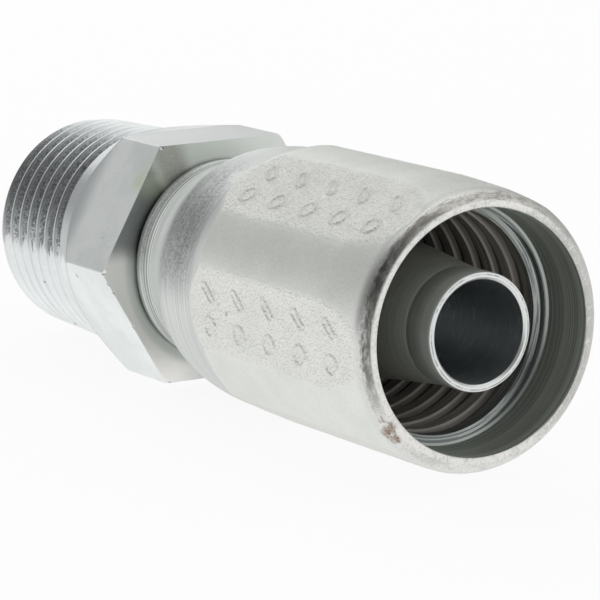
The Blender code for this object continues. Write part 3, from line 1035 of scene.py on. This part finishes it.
pipe_cutter = thread_cutter(
    "pipe_cutter",
    PIPE_CREST,
    PIPE_DEPTH,
    PIPE_ROOT,
    PIPE_PITCH,
    PIPE_START + PIPE_PITCH * PIPE_SHIFT,
    NIPPLE_END + PIPE_PITCH * PIPE_SHIFT,
    False,
)
close_helix(pipe_cutter)
for vertex in pipe_cutter.data.vertices:
    station = -vertex.co.x / MM
    radius = math.hypot(vertex.co.y, vertex.co.z)
    shift = -(station - PIPE_START) * PIPE_TAPER
    if station < PIPE_START + PIPE_RUN_OUT:
        shift += (PIPE_START + PIPE_RUN_OUT - station) * PIPE_DEPTH / PIPE_RUN_OUT
    scale = (radius + shift * MM) / radius
    vertex.co.y *= scale
    vertex.co.z *= scale
cut(nipple, pipe_cutter)
screw_cutter = thread_cutter(
    "screw_cutter",
    SCREW_RADIUS,
    NECK_THREAD_DEPTH,
    NECK_THREAD_ROOT,
    NECK_THREAD_PITCH,
    SCREW_START - NECK_THREAD_LEAD,
    SCREW_END - SCREW_THREAD_STOP,
    False,
)
close_helix(screw_cutter)
cut(nipple, screw_cutter)

pick(nipple)
bpy.ops.object.shade_smooth_by_angle(angle=NIPPLE_SMOOTH)
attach(nipple, "nipple")
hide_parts("nipple")

# Nipple finish: bright satin zinc on bar stock. The hexagon's flats are drawn smooth, with painted shade
# on the top one; the thread has painted shade and painted highlight in its grooves and its cone is greyer,
# the tail is turned, and the drilled bore is dark and scratched, with a painted glint on the scratches.
NIPPLE_LIGHT = (0.91, 0.945, 0.93)
NIPPLE_DULL = (0.81, 0.85, 0.84)
THREAD_SHADE = (0.27, 0.285, 0.305)
THREAD_HIGHLIGHT = (0.93, 0.95, 0.96)
CREST_SHADE = (0.50, 0.52, 0.53)
CONE_GREY = (0.56, 0.58, 0.575)
FACE_GREEN = (0.66, 0.69, 0.655)
FACE_LIT_PINK = (0.97, 0.945, 0.925)
FACE_SHADE = (0.27, 0.285, 0.28)
FACE_BROWN = (0.41, 0.405, 0.37)
STAIN = (0.70, 0.77, 0.54)
TOP_FLAT_SHADE = (0.68, 0.705, 0.70)
TAIL_LIGHT = (0.66, 0.685, 0.65)
TAIL_DARK = (0.56, 0.585, 0.55)
TIP_LIGHT = (0.80, 0.82, 0.805)
TIP_LINE = (0.20, 0.22, 0.21)
BORE_LIGHT = (0.66, 0.69, 0.70)
BORE_DARK = (0.56, 0.60, 0.61)
BORE_GLINT = (0.95, 0.97, 0.97)
TOP_FLAT_TURNS = (-30, 30, 0.8)
FACE_LIT_TURNS = (-160, -70, 10)
FACE_METAL_TURNS = (-160, -101, 13)
CORNER_STAIN_TURNS = (-36, -20, 4.5)
FLAT_STAIN_TURNS = (-50, -36, 5)

nipple_zinc, tree, ring, cloud, shader = zinc_start("nipple_zinc", 0.00012, 0.005)
bar_mottle = calculate(tree, "MULTIPLY_ADD", cloud["Cloud"], 0.5, cloud["Grain"])
color = tint(tree, fade(tree, bar_mottle, 0.45, 1.0), NIPPLE_DULL, NIPPLE_LIGHT)
# Painted shade: the hexagon's top flat is darker.
top_flat = times(
    tree,
    between(tree, ring["Turn"], *TOP_FLAT_TURNS),
    between(tree, ring["Station"], HEX_START, HEX_START + HEX_LENGTH + 1, 0.2),
)
color = tint(tree, times(tree, top_flat, 0.9), color, TOP_FLAT_SHADE)
# The thread: painted shade in the grooves on the front's upper side, mottled, ending in a ragged edge;
# painted shade on the crests, most on that side, and painted highlight in the grooves elsewhere.
taper_rise = calculate(tree, "SUBTRACT", ring["Station"], PIPE_START)
crest_radius = calculate(tree, "MULTIPLY_ADD", taper_rise, -PIPE_TAPER, PIPE_CREST)
groove_depth = calculate(tree, "SUBTRACT", crest_radius, ring["Radius"])
thread_share = times(
    tree,
    fade(tree, ring["Station"], HEX_START + HEX_LENGTH - 0.3, PIPE_START - 1.0),
    fade(tree, ring["Station"], NIPPLE_END - PIPE_CHAMFER, NIPPLE_END - 0.05, 1.0, 0.0),
)
groove = fade(tree, groove_depth, 0.06, 0.30)
drawn_turn = calculate(tree, "MULTIPLY_ADD", ring["Streaks"], 26.0, ring["Turn"])
drawn_turn = calculate(tree, "MULTIPLY_ADD", ring["Smears"], 8.0, drawn_turn)
shaded_side = times(
    tree,
    fade(tree, drawn_turn, -78.0, -73.5),
    fade(tree, ring["Turn"], -30.0, 12.0, 1.0, 0.0),
)
groove_shade = times(tree, shaded_side, thread_share, groove)
mottled = calculate(tree, "MULTIPLY_ADD", ring["Smears"], 0.6, cloud["Grain"])
mottled = fade(tree, mottled, 0.60, 0.92, 0.20, 1.0)
color = tint(tree, times(tree, groove_shade, mottled), color, THREAD_SHADE)
crest = calculate(tree, "SUBTRACT", 1.0, groove, clamp=True)
crest = times(tree, crest, thread_share)
crest_shade = times(tree, crest, fade(tree, shaded_side, 0.0, 1.0, 0.12, 0.85))
color = tint(tree, crest_shade, color, CREST_SHADE)
lit_side = calculate(tree, "SUBTRACT", thread_share, shaded_side, clamp=True)
groove_highlight = times(tree, groove, lit_side)
color = tint(tree, groove_highlight, color, THREAD_HIGHLIGHT)
# The cone that chamfers the hexagon's far side is greyer than the flats.
cone_reach = calculate(tree, "MULTIPLY_ADD", ring["Station"], CONE_SLOPE, ring["Radius"])
cone_edge = PIPE_CREST + CONE_SLOPE * PIPE_START
cone_share = times(
    tree,
    fade(tree, cone_reach, cone_edge - 0.12, cone_edge - 0.04, 0.0, 0.8),
    fade(tree, ring["Station"], PIPE_START - 0.3, PIPE_START, 1.0, 0.0),
)
color = tint(tree, cone_share, color, CONE_GREY)
# The hexagon's near face: painted light in pink on its lower front, painted shade beside the neck on the
# front's upper side, brown at its corner.
near_face = times(
    tree,
    fade(tree, ring["Station"], HEX_START + 0.04, HEX_START + 0.10, 1.0, 0.0),
    fade(tree, ring["Radius"], 8.0, 9.0),
)
ragged_turn = calculate(tree, "MULTIPLY_ADD", cloud["Cloud"], 3.0, ring["Turn"])
face_lit = times(
    tree,
    fade(tree, ring["Radius"], 9.8, 10.6),
    between(tree, ring["Turn"], *FACE_LIT_TURNS),
)
face_color = tint(tree, face_lit, FACE_GREEN, FACE_LIT_PINK)
color = tint(tree, times(tree, near_face, 0.9), color, face_color)
near_face_shade = times(
    tree,
    fade(tree, ragged_turn, -87, -73),
    fade(tree, ragged_turn, -41, -35, 1.0, 0.0),
    near_face,
)
color = tint(tree, times(tree, near_face_shade, 0.93), color, FACE_SHADE)
corner_stain = times(
    tree,
    between(tree, ragged_turn, *CORNER_STAIN_TURNS),
    near_face,
    fade(tree, cloud["Grain"], 0.3, 0.6, 0.65, 0.92),
)
color = tint(tree, corner_stain, color, FACE_BROWN)
flat_stain = times(
    tree,
    between(tree, ring["Turn"], *FLAT_STAIN_TURNS),
    between(tree, ring["Station"], HEX_START + 0.1, HEX_START + 1.6, 0.9),
    fade(tree, cloud["Cloud"], 0.1, 0.6, 0.3, 0.8),
)
color = tint(tree, flat_stain, color, STAIN)
color = tint(tree, times(tree, cloud["Pits"], 0.75), color, SCUFF_DARK)
tree.links.new(color, shader.inputs["Base Color"])
metal_share = times(tree, groove_shade, fade(tree, ring["Smears"], 0.40, 0.62))
metal_share = calculate(tree, "MULTIPLY_ADD", metal_share, -0.30, 1.0)
# The near face outside its painted shade is a little less metallic, except low down at the front.
face_metal = between(tree, ring["Turn"], *FACE_METAL_TURNS)
unshaded_face = times(
    tree,
    calculate(tree, "SUBTRACT", near_face, near_face_shade, clamp=True),
    calculate(tree, "MULTIPLY_ADD", face_metal, -0.15, 0.15),
)
metal_share = calculate(tree, "SUBTRACT", metal_share, unshaded_face)
tree.links.new(metal_share, shader.inputs["Metallic"])
tree.links.new(fade(tree, cloud["Grain"], 0.3, 0.7, 0.30, 0.40), shader.inputs["Roughness"])
raise_surface(tree, shader, [(ring["Rings"], 0.000004), (cloud["Grain"], 0.000009)])

tail_zinc, tree, ring, cloud, shader = zinc_start("tail_zinc", 0.00010, 0.004)
shader.inputs["Metallic"].default_value = 0.8
color = tint(tree, fade(tree, ring["Streaks"], 0.35, 0.65), TAIL_DARK, TAIL_LIGHT)
tip_end = TIP_STATION + TIP_ROUND
tip_share = fade(tree, ring["Station"], tip_end, tip_end + 0.1, 1.0, 0.0)
tip_line = between(tree, ring["Radius"], 4.80, 4.90, 0.03)
tip_line = times(tree, tip_line, fade(tree, ring["Smears"], 0.40, 0.60, 0.9, 0.1))
tip_color = tint(tree, tip_line, TIP_LIGHT, TIP_LINE)
color = tint(tree, tip_share, color, tip_color)
tree.links.new(color, shader.inputs["Base Color"])
tree.links.new(fade(tree, ring["Rings"], 0.3, 0.7, 0.32, 0.40), shader.inputs["Roughness"])
raise_surface(tree, shader, [(ring["Rings"], 0.000003)])

bore_zinc, tree, ring, cloud, shader = zinc_start("bore_zinc", 0.00016, 0.004)
color = tint(tree, cloud["Cloud"], BORE_DARK, BORE_LIGHT)
# Bright scratches in the bore, their brightness a painted glint.
color = tint(tree, fade(tree, ring["Smears"], 0.52, 0.70, 0.0, 0.7), color, BORE_GLINT)
tree.links.new(color, shader.inputs["Base Color"])
tree.links.new(fade(tree, ring["Rings"], 0.3, 0.7, 0.38, 0.50), shader.inputs["Roughness"])
raise_surface(tree, shader, [(ring["Rings"], 0.000003), (cloud["Grain"], 0.000003)])

for finish in (nipple_zinc, tail_zinc, bore_zinc):
    nipple.data.materials.append(finish)
for face in nipple.data.polygons:
    radius, station = on_axis(face.center)
    if radius < NIPPLE_BORE + BORE_SLACK and station > TIP_STATION + TIP_BORE_ROUND * 0.5:
        face.material_index = 2
    elif station < HEX_START - 0.05:
        face.material_index = 1
